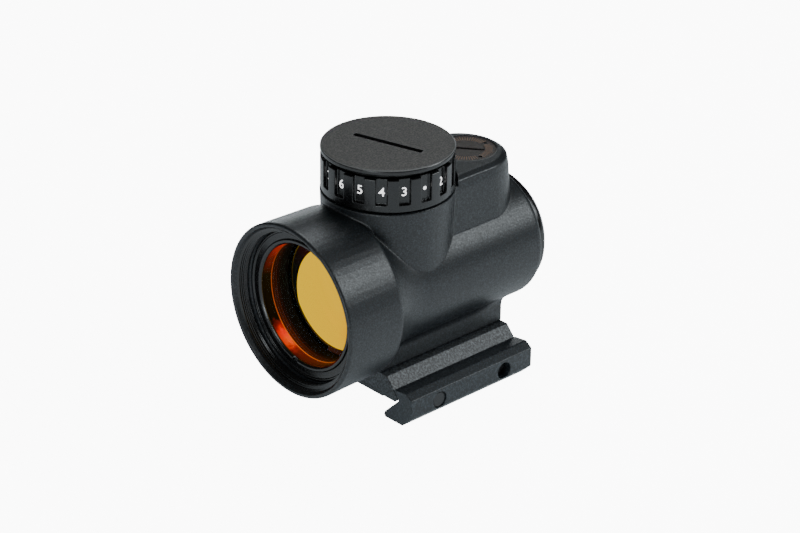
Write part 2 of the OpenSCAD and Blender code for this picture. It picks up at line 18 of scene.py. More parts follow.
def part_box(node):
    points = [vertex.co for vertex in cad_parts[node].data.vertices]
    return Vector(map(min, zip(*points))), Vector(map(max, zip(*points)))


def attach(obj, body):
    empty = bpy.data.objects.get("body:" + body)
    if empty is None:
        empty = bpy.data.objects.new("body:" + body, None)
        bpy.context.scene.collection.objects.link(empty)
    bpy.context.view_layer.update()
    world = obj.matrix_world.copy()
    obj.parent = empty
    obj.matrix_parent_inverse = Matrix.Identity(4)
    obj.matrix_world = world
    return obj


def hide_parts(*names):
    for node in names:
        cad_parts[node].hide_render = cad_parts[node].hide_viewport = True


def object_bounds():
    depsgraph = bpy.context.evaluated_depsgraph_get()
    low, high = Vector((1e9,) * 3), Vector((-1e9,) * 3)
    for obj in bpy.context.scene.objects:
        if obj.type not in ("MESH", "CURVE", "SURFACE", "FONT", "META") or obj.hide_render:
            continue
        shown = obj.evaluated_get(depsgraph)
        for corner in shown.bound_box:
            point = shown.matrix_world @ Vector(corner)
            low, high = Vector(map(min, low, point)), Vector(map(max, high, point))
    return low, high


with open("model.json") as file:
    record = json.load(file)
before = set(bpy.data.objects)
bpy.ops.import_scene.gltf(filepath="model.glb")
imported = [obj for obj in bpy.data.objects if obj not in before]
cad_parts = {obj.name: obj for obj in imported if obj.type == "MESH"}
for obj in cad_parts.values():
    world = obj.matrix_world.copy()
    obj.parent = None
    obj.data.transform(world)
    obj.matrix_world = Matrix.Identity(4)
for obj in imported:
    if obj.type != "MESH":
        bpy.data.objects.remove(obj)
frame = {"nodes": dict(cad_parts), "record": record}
cad_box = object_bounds()
nodes = frame["nodes"]

# %% [markdown]
# ## Sizes read from the frame
#
# A machinist dimensions everything from a few datums: here the optical axis, the turret axis
# and the rail seat. Reading them from the frame's own boxes keeps every added piece true to
# the parts, whatever their size. Lengths are in millimetres until a mesh is finished.

# %% Datums
MM = 0.001


def low(node):
    """Lowest corner of a part, in millimetres."""
    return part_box(node)[0] / MM


def high(node):
    """Highest corner of a part, in millimetres."""
    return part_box(node)[1] / MM


def middle(node):
    """Centre of a part's box, in millimetres."""
    return (low(node) + high(node)) / 2


OPTICAL = Vector((0, 0, middle("ocular_ring").z))
TURRET = Vector((middle("battery_cap").x, 0, 0))
DIAL_R = (high("brightness_dial").x - low("brightness_dial").x) / 2
print(f"optical axis at z = {OPTICAL.z:.2f} mm, turret at x = {TURRET.x:.2f} mm, dial radius {DIAL_R:.2f} mm")

# %% [markdown]
# ## Camera
#
# A small black sight is usually shown from its front left corner and a little above, with a
# long lens so that the round parts keep their roundness. The camera is placed by its three
# directions and its distance from the seat of the clamp.

# %% Camera
VIEW_RIGHT = Vector((-0.73406, 0.67898, 0.01193))
VIEW_UP = Vector((-0.30001, -0.34000, 0.89129))
VIEW_BACK = Vector((0.60925, 0.65067, 0.45328))
CAMERA_MM = Vector((376.22, 395.36, 300.17))

camera_data = bpy.data.cameras.new("camera")
camera_data.sensor_width = 36        # mm, as is the lens
camera_data.lens = 122.92
camera_data.clip_start = 0.01
camera = bpy.data.objects.new("camera", camera_data)
bpy.context.scene.collection.objects.link(camera)
turn = Matrix((VIEW_RIGHT, VIEW_UP, VIEW_BACK)).transposed().to_quaternion().to_matrix().to_4x4()
camera.matrix_world = Matrix.Translation(CAMERA_MM * MM) @ turn
bpy.context.scene.camera = camera
print("camera", round(CAMERA_MM.length), "mm from the seat, lens", camera_data.lens)

# %% [markdown]
# ## Floor and light
#
# Black parts are made visible by what they reflect. The room looks white but gives little
# light, as a white sweep does when it stands far behind the object. Five large soft panels do
# the work: one on the left draws the long highlight on the bell and the tube, one behind
# lights the edges, one in front the lip of the bell, a low one the front of the turret, and
# one overhead the flat tops.

# %% Floor and light
world = bpy.data.worlds.new("white_room")
bpy.context.scene.world = world
world.use_nodes = True
room = world.node_tree.nodes["Background"]
room.inputs["Color"].default_value = (1, 1, 1, 1)
ROOM_LIGHT, ROOM_SEEN = 0.05, 10.0    # how bright the room is as a light, and as a backdrop
PANEL_COLOUR = (0.90, 0.97, 1.0)      # daylight tubes, slightly blue
seen = world.node_tree.nodes.new("ShaderNodeLightPath")
level = world.node_tree.nodes.new("ShaderNodeMapRange")
world.node_tree.links.new(seen.outputs["Is Camera Ray"], level.inputs["Value"])
level.inputs["To Min"].default_value = ROOM_LIGHT
level.inputs["To Max"].default_value = ROOM_SEEN
world.node_tree.links.new(level.outputs["Result"], room.inputs["Strength"])


def soft_panel(name, place, width, height, power):
    """A rectangular softbox at place, aimed at the sight; all in millimetres, power in watts."""
    data = bpy.data.lights.new(name, "AREA")
    data.shape = "RECTANGLE"
    data.size = width * MM
    data.size_y = height * MM
    data.energy = power
    data.color = PANEL_COLOUR
    panel = bpy.data.objects.new(name, data)
    bpy.context.scene.collection.objects.link(panel)
    panel.location = Vector(place) * MM
    direction = (OPTICAL - Vector(place)).normalized()
    panel.rotation_euler = direction.to_track_quat("-Z", "Y").to_euler()
    return panel


soft_panel("left_panel", (-275, 285, 260), 210, 210, 0.72)
soft_panel("back_panel", (-330, -420, 70), 300, 120, 0.28)
soft_panel("front_panel", (420, 120, 330), 160, 160, 0.35)
soft_panel("low_front_panel", (420, 230, 75), 110, 110, 0.28)
soft_panel("top_panel", (-160, -150, 420), 200, 200, 0.55)

# %% [markdown]
# ## Helpers for materials
#
# Colours are written as the hex values a painter would pick on screen, so one function turns
# them to the linear values that shaders use. One more function adds a node together with its
# settings and its links, which keeps each material short enough to read.

# %% Colour and node helpers


def tint(code):
    """A linear RGBA colour from an sRGB hex code such as '#2c3136'."""
    parts = [int(code[i:i + 2], 16) / 255 for i in (1, 3, 5)]
    return tuple(c / 12.92 if c <= 0.04045 else ((c + 0.055) / 1.055) ** 2.4 for c in parts) + (1.0,)


def add(tree, kind, links=None, **settings):
    """Adds one node. settings are its own properties; links fills its inputs, by value or from a socket."""
    node = tree.nodes.new(kind)
    for key, value in settings.items():
        setattr(node, key, value)
    for socket, source in (links or {}).items():
        if isinstance(source, bpy.types.NodeSocket):
            tree.links.new(source, node.inputs[socket])
        else:
            node.inputs[socket].default_value = source
    return node


def finish(name, **constants):
    """A new material with a Principled shader; constants are socket names with _ for spaces."""
    material = bpy.data.materials.new(name)
    material.use_nodes = True
    shader = material.node_tree.nodes["Principled BSDF"]
    for socket, value in constants.items():
        shader.inputs[socket.replace("_", " ")].default_value = value
    return material, material.node_tree, shader


def ramp(tree, source, stops):
    """A colour ramp over stops of (place, linear colour), fed from a socket."""
    node = add(tree, "ShaderNodeValToRGB", {0: source})
    while len(node.color_ramp.elements) < len(stops):
        node.color_ramp.elements.new(1.0)
    for element, (place, colour) in zip(node.color_ramp.elements, stops):
        element.position = place
        element.color = colour
    return node.outputs["Color"]


print("#2c3136 is", [round(c, 4) for c in tint("#2c3136")[:3]])

# %% [markdown]
# ## Black anodised aluminium, bead-blasted
#
# The body is machined from aluminium, blasted with fine glass beads and dyed black in an
# anodising bath. The oxide is a clear hard layer over a dark dye, so it is not a mirror metal
# any more: it scatters softly, and the tiny dimples left by the beads make it sparkle. The
# beads leave dimples of about 0.1 mm; they are drawn 0.3 to 0.4 mm wide so that they show.


# %% Blasted finish
CLOUD_MM = 6            # size of the faint patches that dyeing leaves
ROUGH_SPREAD = 0.08     # how much rougher a dimple's rim is than its floor


def blasted(name, dye, light, dimple_mm, depth_mm, rough, sparkle):
    """Bead-blasted black anodised aluminium; sparkle is the share of dimples that catch light."""
    material, tree, shader = finish(name, IOR=1.65, Metallic=0.0)
    place = add(tree, "ShaderNodeTexCoord").outputs["Object"]
    dimples = add(tree, "ShaderNodeTexNoise", {"Vector": place, "Scale": 1 / (dimple_mm * MM), "Detail": 2.0,
                                               "Roughness": 0.6}).outputs["Fac"]
    cloud = add(tree, "ShaderNodeTexNoise", {"Vector": place, "Scale": 1 / (CLOUD_MM * MM),
                                             "Detail": 3.0}).outputs["Fac"]
    dark, pale = tint(dye), tint(light)
    glint = ramp(tree, dimples, [(0.0, dark), (0.62 - sparkle / 2, dark), (0.92 - sparkle / 4, pale)])
    patchy = add(tree, "ShaderNodeMix", {"Factor": cloud, "A": 0.82, "B": 1.12}, data_type="FLOAT").outputs["Result"]
    shade = add(tree, "ShaderNodeVectorMath", {0: glint, 1: patchy}, operation="MULTIPLY").outputs["Vector"]
    tree.links.new(shade, shader.inputs["Base Color"])
    spread = add(tree, "ShaderNodeMapRange", {
        "Value": dimples, "From Min": 0.3, "From Max": 0.7,
        "To Min": rough + ROUGH_SPREAD, "To Max": rough - ROUGH_SPREAD}).outputs["Result"]
    tree.links.new(spread, shader.inputs["Roughness"])
    bump = add(tree, "ShaderNodeBump", {"Height": dimples, "Distance": depth_mm * MM, "Strength": 1.0})
    tree.links.new(bump.outputs["Normal"], shader.inputs["Normal"])
    return material


body_black = blasted("black_anodised_fine_blast", "#0c0f11", "#3a434a", 0.36, 0.030, 0.38, 0.34)
mount_black = blasted("black_anodised_coarse_blast", "#0d0f11", "#59636a", 0.42, 0.045, 0.42, 0.40)
bar_black = blasted("blue_black_anodised_bar", "#171d21", "#4e5962", 0.40, 0.026, 0.38, 0.30)
cap_black = blasted("warm_black_anodised_cap", "#3a3633", "#6e6863", 0.34, 0.012, 0.50, 0.32)
print("blasted finishes:", body_black.name, mount_black.name, bar_black.name, cap_black.name)

# %% [markdown]
# ## A polished rim on a blasted cap, with a painted highlight
#
# Only the top of the battery cap is blasted; its side is left as turned, and the chamfer
# between them is polished by handling. The three are one mesh, so the finish
# is chosen by how far the surface looks up. The chamfer, which looks up and out, gets a pale
# colour that is partly wear and partly a painted highlight for the bright line it catches.


# %% Rim finish
def with_polished_rim_and_highlight(material, from_z, to_z, rim, rim_rough):
    """Makes the faces of a blasted piece that don't look up smoother and darker, with a pale edge that is partly wear
    and partly a painted highlight.
    """
    tree = material.node_tree
    shader = tree.nodes["Principled BSDF"]
    normal = add(tree, "ShaderNodeTexCoord").outputs["Normal"]
    up = add(tree, "ShaderNodeSeparateXYZ", {0: normal}).outputs["Z"]
    flat = add(tree, "ShaderNodeMapRange", {"Value": up, "From Min": from_z, "From Max": to_z}).outputs["Result"]
    for socket, other in (("Base Color", tint(rim)), ("Roughness", rim_rough)):
        blasted_value = shader.inputs[socket].links[0].from_socket
        if socket == "Base Color":
            # painted highlight, partly wear: a pale band where the surface looks up and out, on the chamfer
            edge = ramp(tree, up, [(0.0, other), (0.60, other), (0.72, WORN_AND_HIGHLIGHT), (0.85, WORN_AND_HIGHLIGHT), (0.95, other)])
            mixed = add(tree, "ShaderNodeMix", {0: flat, 6: edge, 7: blasted_value}, data_type="RGBA").outputs[2]
        else:
            mixed = add(tree, "ShaderNodeMix", {0: flat, 2: other, 3: blasted_value}, data_type="FLOAT").outputs[0]
        tree.links.new(mixed, shader.inputs[socket])
    return material


# pale colour on the cap's chamfer: partly wear, partly a painted highlight
WORN_AND_HIGHLIGHT = tint("#8a8a88")
cap_finish = with_polished_rim_and_highlight(cap_black, 0.90, 0.99, "#0c0c0d", 0.24)
print("polished rim on", cap_finish.name)

# %% [markdown]
# ## Black anodised aluminium, as turned
#
# The dial and the rings keep the fine grooves of the lathe tool, so they are glossier than
# the blasted body and draw thin bright lines. The tool feed is about 0.05 mm a turn; the
# grooves are drawn 0.15 to 0.3 mm apart so that they show. They run round an axis, so their
# height depends on the distance along it.


# %% Turned finish
def turned_black(name, dye, rough, axis, groove_mm=0.15, depth_mm=0.002, metallic=0.0):
    """Metal straight from the lathe, with grooves spaced along axis (0 = x, 2 = z); anodised unless metallic."""
    material, tree, shader = finish(name, Metallic=metallic)
    if not metallic:
        shader.inputs["IOR"].default_value = 1.65
    place = add(tree, "ShaderNodeTexCoord").outputs["Object"]
    split = add(tree, "ShaderNodeSeparateXYZ", {0: place})
    stretched = add(tree, "ShaderNodeCombineXYZ", {"X": split.outputs[axis]}).outputs["Vector"]
    grooves = add(tree, "ShaderNodeTexNoise", {"Vector": stretched, "Scale": 1 / (groove_mm * MM)}).outputs["Fac"]
    mist = add(tree, "ShaderNodeTexNoise", {"Vector": place, "Scale": 1 / (0.5 * MM), "Detail": 3.0}).outputs["Fac"]
    dark = tint(dye)
    pale = tuple(min(1.0, c * 1.5) for c in dark[:3]) + (1.0,)
    shade = ramp(tree, mist, [(0.3, dark), (0.8, pale)])
    tree.links.new(shade, shader.inputs["Base Color"])
    spread = add(tree, "ShaderNodeMapRange", {"Value": mist, "From Min": 0.3, "From Max": 0.7,
                                              "To Min": rough - 0.05, "To Max": rough + 0.05}).outputs["Result"]
    tree.links.new(spread, shader.inputs["Roughness"])
    bump = add(tree, "ShaderNodeBump", {"Height": grooves, "Distance": depth_mm * MM, "Strength": 0.6})
    tree.links.new(bump.outputs["Normal"], shader.inputs["Normal"])
    return material


dial_black = turned_black("satin_black_anodised_dial", "#050506", 0.24, 2)
ring_black = turned_black("gloss_black_anodised_ring", "#060607", 0.24, 0, groove_mm=0.3, depth_mm=0.001)
bronze_black = blasted("bronze_black_anodised", "#2c2420", "#6a584c", 0.3, 0.012, 0.40, 0.32)
plain_aluminium = turned_black("turned_aluminium", "#b4b6b8", 0.32, 0, metallic=1.0)
brass = turned_black("turned_brass", "#b8923f", 0.30, 2, metallic=1.0)
spring_bronze = turned_black("rolled_spring_bronze", "#b0793a", 0.30, 0, metallic=1.0)
bright_steel = turned_black("ground_steel", "#b9bbbd", 0.24, 2, metallic=1.0)
nickel_steel = turned_black("nickel_plated_steel", "#c3c2bd", 0.22, 2, metallic=1.0)
black_steel = turned_black("black_oxide_steel", "#1b1c1d", 0.34, 1)
print("turned finishes ready")

# %% [markdown]
# ## Small parts: rubber, nylon, epoxy, film and paint
#
# These are moulded or coated plastics. All of them scatter light under the surface a little
# and have a broad soft highlight; what tells them apart is colour, roughness and the fineness
# of the mould texture.


# %% Moulded finish
def moulded(name, colour, rough, grain_mm=0.4, depth_mm=0.004, ior=1.5):
    """A moulded or coated plastic with a fine mould grain."""
    material, tree, shader = finish(name, IOR=ior)
    place = add(tree, "ShaderNodeTexCoord").outputs["Object"]
    grain = add(tree, "ShaderNodeTexNoise", {"Vector": place, "Scale": 1 / (grain_mm * MM),
                                             "Detail": 3.0}).outputs["Fac"]
    base = tint(colour)
    dim = tuple(c * 0.85 for c in base[:3]) + (1.0,)
    tree.links.new(ramp(tree, grain, [(0.35, dim), (0.65, base)]), shader.inputs["Base Color"])
    spread = add(tree, "ShaderNodeMapRange", {"Value": grain, "To Min": rough - 0.06,
                                              "To Max": rough + 0.06}).outputs["Result"]
    tree.links.new(spread, shader.inputs["Roughness"])
    bump = add(tree, "ShaderNodeBump", {"Height": grain, "Distance": depth_mm * MM, "Strength": 0.5})
    tree.links.new(bump.outputs["Normal"], shader.inputs["Normal"])
    return material


rubber = moulded("nitrile_rubber", "#151515", 0.60, 0.3, 0.008, 1.52)
black_nylon = moulded("moulded_black_nylon", "#191919", 0.45, 0.3, 0.006, 1.53)
white_nylon = moulded("turned_white_nylon", "#d8d4c8", 0.45)
green_board = moulded("solder_mask_epoxy", "#1c5638", 0.30, 0.8)
polyimide = moulded("polyimide_film", "#a8672a", 0.28, 1.0)
red_epoxy = moulded("red_epoxy_lens", "#c02a18", 0.12, 0.8)
white_paint = moulded("white_filled_paint", "#fbfbf8", 0.50, 0.25, 0.006)
paint_shader = white_paint.node_tree.nodes["Principled BSDF"]
# painted light: the white paint glows a little, so the numerals stay white where shade falls on them
paint_shader.inputs["Emission Color"].default_value = (1, 1, 1, 1)
paint_shader.inputs["Emission Strength"].default_value = 1.6     # stays white on the shaded side too
bronze_paint = moulded("bronze_filled_paint", "#b48e74", 0.45, 0.25, 0.006)
print("moulded finishes ready")

# %% [markdown]
# ## Coated glass
#
# The front window carries a coating that hides it, and the lens behind it a mirror coating
# that lets red through and throws yellow light back. Seen straight on such a lens is almost
# clear; seen from the side it looks amber. That amber reflection is painted here: the lens
# glows amber at a slant, yellower on one side and more orange on the other. A thin pane is
# drawn as a transparent sheet with a sharp gloss over it, mixed by the angle of view, which
# costs far less than bent rays.


# %% Glass finishes
def bare_material(name):
    """A new material with an empty node tree."""
    material = bpy.data.materials.new(name)
    material.use_nodes = True
    material.node_tree.nodes.clear()
    return material, material.node_tree


def thin_glass(name, colour, gloss):
    """A thin pane: clear with a tint, and a mirror-like gloss that grows at a slant."""
    material, tree = bare_material(name)
    place = add(tree, "ShaderNodeTexCoord").outputs["Object"]
    film = add(tree, "ShaderNodeTexNoise", {"Vector": place, "Scale": 1 / (9 * MM)}).outputs["Fac"]
    clear = add(tree, "ShaderNodeBsdfTransparent", {"Color": tint(colour)}).outputs[0]
    coating = ramp(tree, film, [(0.3, tint("#8f86c8")), (0.7, tint("#6aa08c"))])
    shine = add(tree, "ShaderNodeBsdfGlossy", {"Color": coating, "Roughness": 0.03}).outputs[0]
    facing = add(tree, "ShaderNodeLayerWeight", {"Blend": 0.5}).outputs["Facing"]
    steep = add(tree, "ShaderNodeMath", {0: facing, 1: 4.0}, operation="POWER").outputs[0]
    slant = add(tree, "ShaderNodeMath", {0: steep, 1: gloss, 2: gloss * 0.05}, operation="MULTIPLY_ADD").outputs[0]
    mixed = add(tree, "ShaderNodeMixShader", {0: slant, 1: clear, 2: shine}).outputs[0]
    add(tree, "ShaderNodeOutputMaterial", {"Surface": mixed})
    return material


def amber_glass(name):
    """The mirror-coated lens: tinted and clear straight on; at a slant its amber reflection is painted as a glow,
    more orange towards +y.
    """
    material, tree = bare_material(name)
    place = add(tree, "ShaderNodeTexCoord").outputs["Object"]
    across = add(tree, "ShaderNodeSeparateXYZ", {0: place}).outputs["Y"]
    spread = add(tree, "ShaderNodeMapRange", {"Value": across, "From Min": -12 * MM,
                                              "From Max": 13 * MM}).outputs["Result"]
    film = add(tree, "ShaderNodeTexNoise", {"Vector": place, "Scale": 1 / (5 * MM), "Detail": 2.0}).outputs["Fac"]
    shift = add(tree, "ShaderNodeMath", {0: film, 1: 0.16, 2: -0.08}, operation="MULTIPLY_ADD").outputs[0]
    where = add(tree, "ShaderNodeMath", {0: spread, 1: shift}, operation="ADD").outputs[0]
    # painted reflection: an amber glow stands in for the yellow light the coating throws back, more orange towards +y
    amber = ramp(tree, where, [(0.0, tint("#ffd200")), (0.55, tint("#ffcc00")), (0.80, tint("#ffae00")),
                               (1.0, tint("#ff9800"))])
    glow = add(tree, "ShaderNodeEmission", {"Color": amber, "Strength": 1.2}).outputs[0]
    clear = add(tree, "ShaderNodeBsdfTransparent", {"Color": tint("#e0b060")}).outputs[0]
    shine = add(tree, "ShaderNodeBsdfGlossy", {"Color": tint("#f0d080"), "Roughness": 0.05}).outputs[0]
    slant = add(tree, "ShaderNodeLayerWeight", {"Blend": 0.5}).outputs["Facing"]
    lit = add(tree, "ShaderNodeMapRange", {"Value": slant, "From Min": 0.02, "From Max": 0.25}).outputs["Result"]
    colour = add(tree, "ShaderNodeMixShader", {0: lit, 1: clear, 2: glow}).outputs[0]
    steep = add(tree, "ShaderNodeMath", {0: slant, 1: 4.0}, operation="POWER").outputs[0]
    gloss = add(tree, "ShaderNodeMath", {0: steep, 1: 0.5, 2: 0.02}, operation="MULTIPLY_ADD").outputs[0]
    mixed = add(tree, "ShaderNodeMixShader", {0: gloss, 1: colour, 2: shine}).outputs[0]
    add(tree, "ShaderNodeOutputMaterial", {"Surface": mixed})
    return material


front_glass = thin_glass("coated_front_glass", "#f8f4ea", 0.06)
rear_glass = thin_glass("coated_rear_glass", "#dfe6e4", 0.5)
amber_lens = amber_glass("amber_mirror_lens")
print("glass finishes ready")

# %% [markdown]
# ## Finishes on the parts as they are
#
# Every part of the frame gets the finish of its material slot first. Pieces built later
# replace the few parts whose edges and small details need a richer mesh.

# %% Assign finishes
BY_SLOT = {
    "anodised_body": body_black, "anodised_inner": ring_black, "anodised_mount": mount_black,
    "anodised_bar": bar_black, "dial_black": dial_black, "cap_black": cap_black,
    "adjuster_black": bronze_black, "plain_aluminium": plain_aluminium, "black_steel": black_steel,
    "bright_steel": bright_steel, "cell_steel": nickel_steel, "brass": brass,
    "spring_bronze": spring_bronze, "coated_glass": front_glass, "amber_glass": amber_lens,
    "clear_glass": rear_glass, "rubber_black": rubber, "black_plastic": black_nylon,
    "white_nylon": white_nylon, "board_green": green_board, "flex_film": polyimide,
    "red_lens": red_epoxy}
SLOT_OF = {part["node"]: part["material_slot"] for part in frame["record"]["subparts"]}
BODY_OF = {node: body for body, members in frame["record"]["behaviour"]["bodies"].items() for node in members}


def dress(obj, material):
    """Puts one material on every slot of an object."""
    if not obj.data.materials:
        obj.data.materials.append(material)
    for i in range(len(obj.data.materials)):
        obj.material_slots[i].link = "OBJECT"
        obj.material_slots[i].material = material


for name, part in nodes.items():
    dress(part, BY_SLOT[SLOT_OF[name]])
print(len(nodes), "parts dressed from", len(BY_SLOT), "slots")

# %% [markdown]
# ## Helpers for shapes
#
# A blasted part has no sharp edge anywhere: deburring and the beads round every corner by a
# few tenths of a millimetre, and those tiny rounds draw the bright lines that make metal look
# real. A voxel remesh of the part as modelled, followed by a light smoothing, rounds every
# outside corner and fills every inside one in the same way. Turned rings are better spun from
# a profile whose corners are rounded one by one, because a lathe leaves them crisper.

# %% Shape helpers


def place(name, mesh, material, body, stands_for=(), sharp=32):
    """Links a finished mesh (in metres) as a piece that rides on a body and may replace parts."""
    obj = bpy.data.objects.new(name, mesh)
    bpy.context.scene.collection.objects.link(obj)
    for polygon in mesh.polygons:
        polygon.use_smooth = True
    mesh.set_sharp_from_angle(angle=math.radians(sharp))
    mesh.materials.clear()
    mesh.materials.append(material)
    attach(obj, body)
    if stands_for:
        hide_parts(*stands_for)
    return obj


def skin(node, voxel, passes, keep, material, sharp=40):
    """A copy of a part with all its corners rounded: remeshed at voxel mm, smoothed, then thinned to keep."""
    raw = bpy.data.meshes.new(node + "_raw")
    work = bmesh.new()
    work.from_mesh(nodes[node].data)
    bmesh.ops.transform(work, matrix=Matrix.Scale(1 / MM, 4), verts=work.verts)
    bmesh.ops.remove_doubles(work, verts=work.verts, dist=0.002)
    work.to_mesh(raw)
    work.free()
    lump = bpy.data.objects.new(node + "_lump", raw)
    bpy.context.scene.collection.objects.link(lump)
    remesh = lump.modifiers.new("remesh", "REMESH")
    remesh.mode = "VOXEL"
    remesh.voxel_size = voxel
    smooth = lump.modifiers.new("smooth", "SMOOTH")
    smooth.iterations = passes
    smooth.factor = 0.5
    thin = lump.modifiers.new("thin", "DECIMATE")
    thin.ratio = keep
    bpy.context.view_layer.update()
    done = bpy.data.meshes.new_from_object(lump.evaluated_get(bpy.context.evaluated_depsgraph_get()))
    done.transform(Matrix.Scale(MM, 4))
    done.name = node + "_skin"
    bpy.data.objects.remove(lump)
    obj = place(node + "_skin", done, material, BODY_OF[node], [node], sharp)
    print(f"{obj.name}: {len(done.polygons)} faces")
    return obj


def rounded(profile, steps=5):
    """Rounds the corners of a closed profile of (along, radius[, corner radius]) points."""
    out = []
    count = len(profile)
    for i, point in enumerate(profile):
        here = Vector(point[:2])
        size = point[2] if len(point) > 2 else 0
        if not size:
            out.append(here)
            continue
        before = Vector(profile[i - 1][:2]) - here
        after = Vector(profile[(i + 1) % count][:2]) - here
        size = min(size, before.length * 0.48, after.length * 0.48)
        start, end = here + before.normalized() * size, here + after.normalized() * size
        for k in range(steps + 1):
            t = k / steps
            out.append(start * (1 - t) ** 2 + here * 2 * t * (1 - t) + end * t ** 2)
    return out


def spin(profile, axis="x", centre=None, around=192, bend=None):
    """Spins a closed profile of (along, radius) points in mm about the optical (x) or turret (z) axis.

    bend(angle, along, radius) may return a changed (along, radius), for flats and ridges.
    """
    centre = (OPTICAL if axis == "x" else TURRET) if centre is None else Vector(centre)
    work = bmesh.new()
    rings = []
    for k in range(around):
        angle = 2 * math.pi * k / around
        ring = []
        for along, radius in profile:
            if bend:
                along, radius = bend(angle, along, radius)
            c, s = radius * math.cos(angle), radius * math.sin(angle)
            offset = Vector((along, c, s)) if axis == "x" else Vector((c, s, along))
            ring.append(work.verts.new((centre + offset) * MM))
        rings.append(ring)
    for k in range(around):
        a, b = rings[k], rings[(k + 1) % around]
        for i in range(len(profile)):
            j = (i + 1) % len(profile)
            work.faces.new((a[i], a[j], b[j], b[i]))
    bmesh.ops.remove_doubles(work, verts=work.verts, dist=1e-7)
    bmesh.ops.recalc_face_normals(work, faces=work.faces)
    mesh = bpy.data.meshes.new("spun")
    work.to_mesh(mesh)
    work.free()
    return mesh


print("shape helpers ready")

# %% [markdown]
# ## The body
#
# The bell, tube, turret boss, saddle and neck are one machined piece. The remesh keeps their
# form and puts a small fillet where the boss runs into the sweep of the bell, which is what
# draws the thin bright line there.

# %% Body
skin("housing", 0.2, 4, 0.35, body_black, sharp=60)

# %% [markdown]
# ## The mount
#
# The base is an extruded bar milled to length; the clamp bar is a second one. Both have only
# lightly broken edges, so they are remeshed finer and smoothed less than the body.

# %% Base and clamp bar
skin("mount_base", 0.13, 2, 0.35, mount_black)
skin("clamp_bar", 0.12, 3, 0.35, bar_black)

# %% [markdown]
# ## The dial
#
# The brightness dial is turned, then a flat-bottomed cutter takes a flat out of the rim for
# every setting. The lands left between the flats keep a small chamfer that glints. It has the
# smallest details of the sight, so it gets the finest mesh.

# %% Dial
skin("brightness_dial", 0.11, 2, 0.3, dial_black)

# %% [markdown]
# ## The front rings
#
# Inside the bell's lip a fine thread takes a filter, and behind it a screwed ring holds the
# window. The ring has a lip, a groove and two notches for a spanner. These are lathe work, so
# they are spun from profiles; a screw thread this fine reads as a stack of ridges, which
# follow the bore and then the flare of the mouth.

# %% Thread
RING_BACK, RING_FRONT = low("lens_retaining_ring").x, high("lens_retaining_ring").x
THREAD_PITCH, RIDGE = 0.34, 0.16
MOUTH = [(RING_FRONT + 0.05, 17.56), (36.35, 17.56), (37.1, 18.06), (37.75, 18.5)]   # (x, radius) of bore and flare


def mouth_radius(x):
    """Radius of the bell's mouth at x, along the bore and the flare."""
    for (x0, r0), (x1, r1) in zip(MOUTH, MOUTH[1:]):
        if x <= x1:
            return r0 + (r1 - r0) * (x - x0) / (x1 - x0)
    return MOUTH[-1][1]


thread_start, thread_end = RING_FRONT + 0.75, MOUTH[-1][0]
turns = int((thread_end - thread_start) / THREAD_PITCH)
thread_profile = [(thread_end, mouth_radius(thread_end)), (thread_start, mouth_radius(thread_start))]
for i in range(turns):
    x = thread_start + i * THREAD_PITCH
    thread_profile += [(x, mouth_radius(x) - RIDGE * 0.3), (x + THREAD_PITCH * 0.45, mouth_radius(x) - RIDGE),
                       (x + THREAD_PITCH * 0.6, mouth_radius(x) - RIDGE)]
place("front_thread", spin(thread_profile, around=256), ring_black, "housing")
print("thread with", turns, "ridges")

# %% Retaining ring
RING_LIP = 14.0
NOTCH_ANGLES, NOTCH_HALF, NOTCH_DEEP = (80, 260), 2.4, 0.5      # degrees, degrees, mm


def away_from(angle, marks):
    """Degrees from an angle in radians to the nearest of the marks."""
    return min(abs((math.degrees(angle) - mark + 180) % 360 - 180) for mark in marks)


def spanner_notch(angle, along, radius):
    """Pushes the inner edge of the ring's front face back inside the notches."""
    in_notch = away_from(angle, NOTCH_ANGLES) < NOTCH_HALF
    if in_notch and radius < RING_LIP + 1.1 and along > RING_FRONT - NOTCH_DEEP:
        return RING_FRONT - NOTCH_DEEP, radius
    return along, radius


ring_profile = rounded([
    (RING_BACK, 15.75), (RING_FRONT - 0.8, 15.75), (RING_FRONT - 0.8, RING_LIP + 0.12),
    (RING_FRONT - 0.40, RING_LIP, 0.1), (RING_FRONT, RING_LIP + 0.42, 0.12), (RING_FRONT, RING_LIP + 0.95, 0.1),
    (RING_FRONT - 0.45, RING_LIP + 1.15, 0.1), (RING_FRONT - 0.45, 16.6, 0.1), (RING_FRONT - 0.1, 16.8, 0.08),
    (RING_FRONT - 0.1, 17.15, 0.08), (RING_BACK, 17.25)], 3)
place("retaining_ring", spin(ring_profile, around=300, bend=spanner_notch), ring_black,
      "housing", ["lens_retaining_ring"])
print("ring with", len(NOTCH_ANGLES), "notches")

# %% [markdown]
# ## Light inside the bell
#
# The mirror coating of the lens throws red and amber light onto the black walls in front of
# it. The real light comes from a long chain of reflections between curved coatings, so it is
# drawn as a weak glow in the finish of those walls, whose colour depends on the clock angle
# around the optical axis and on the depth: dark red above, black beside, orange below.


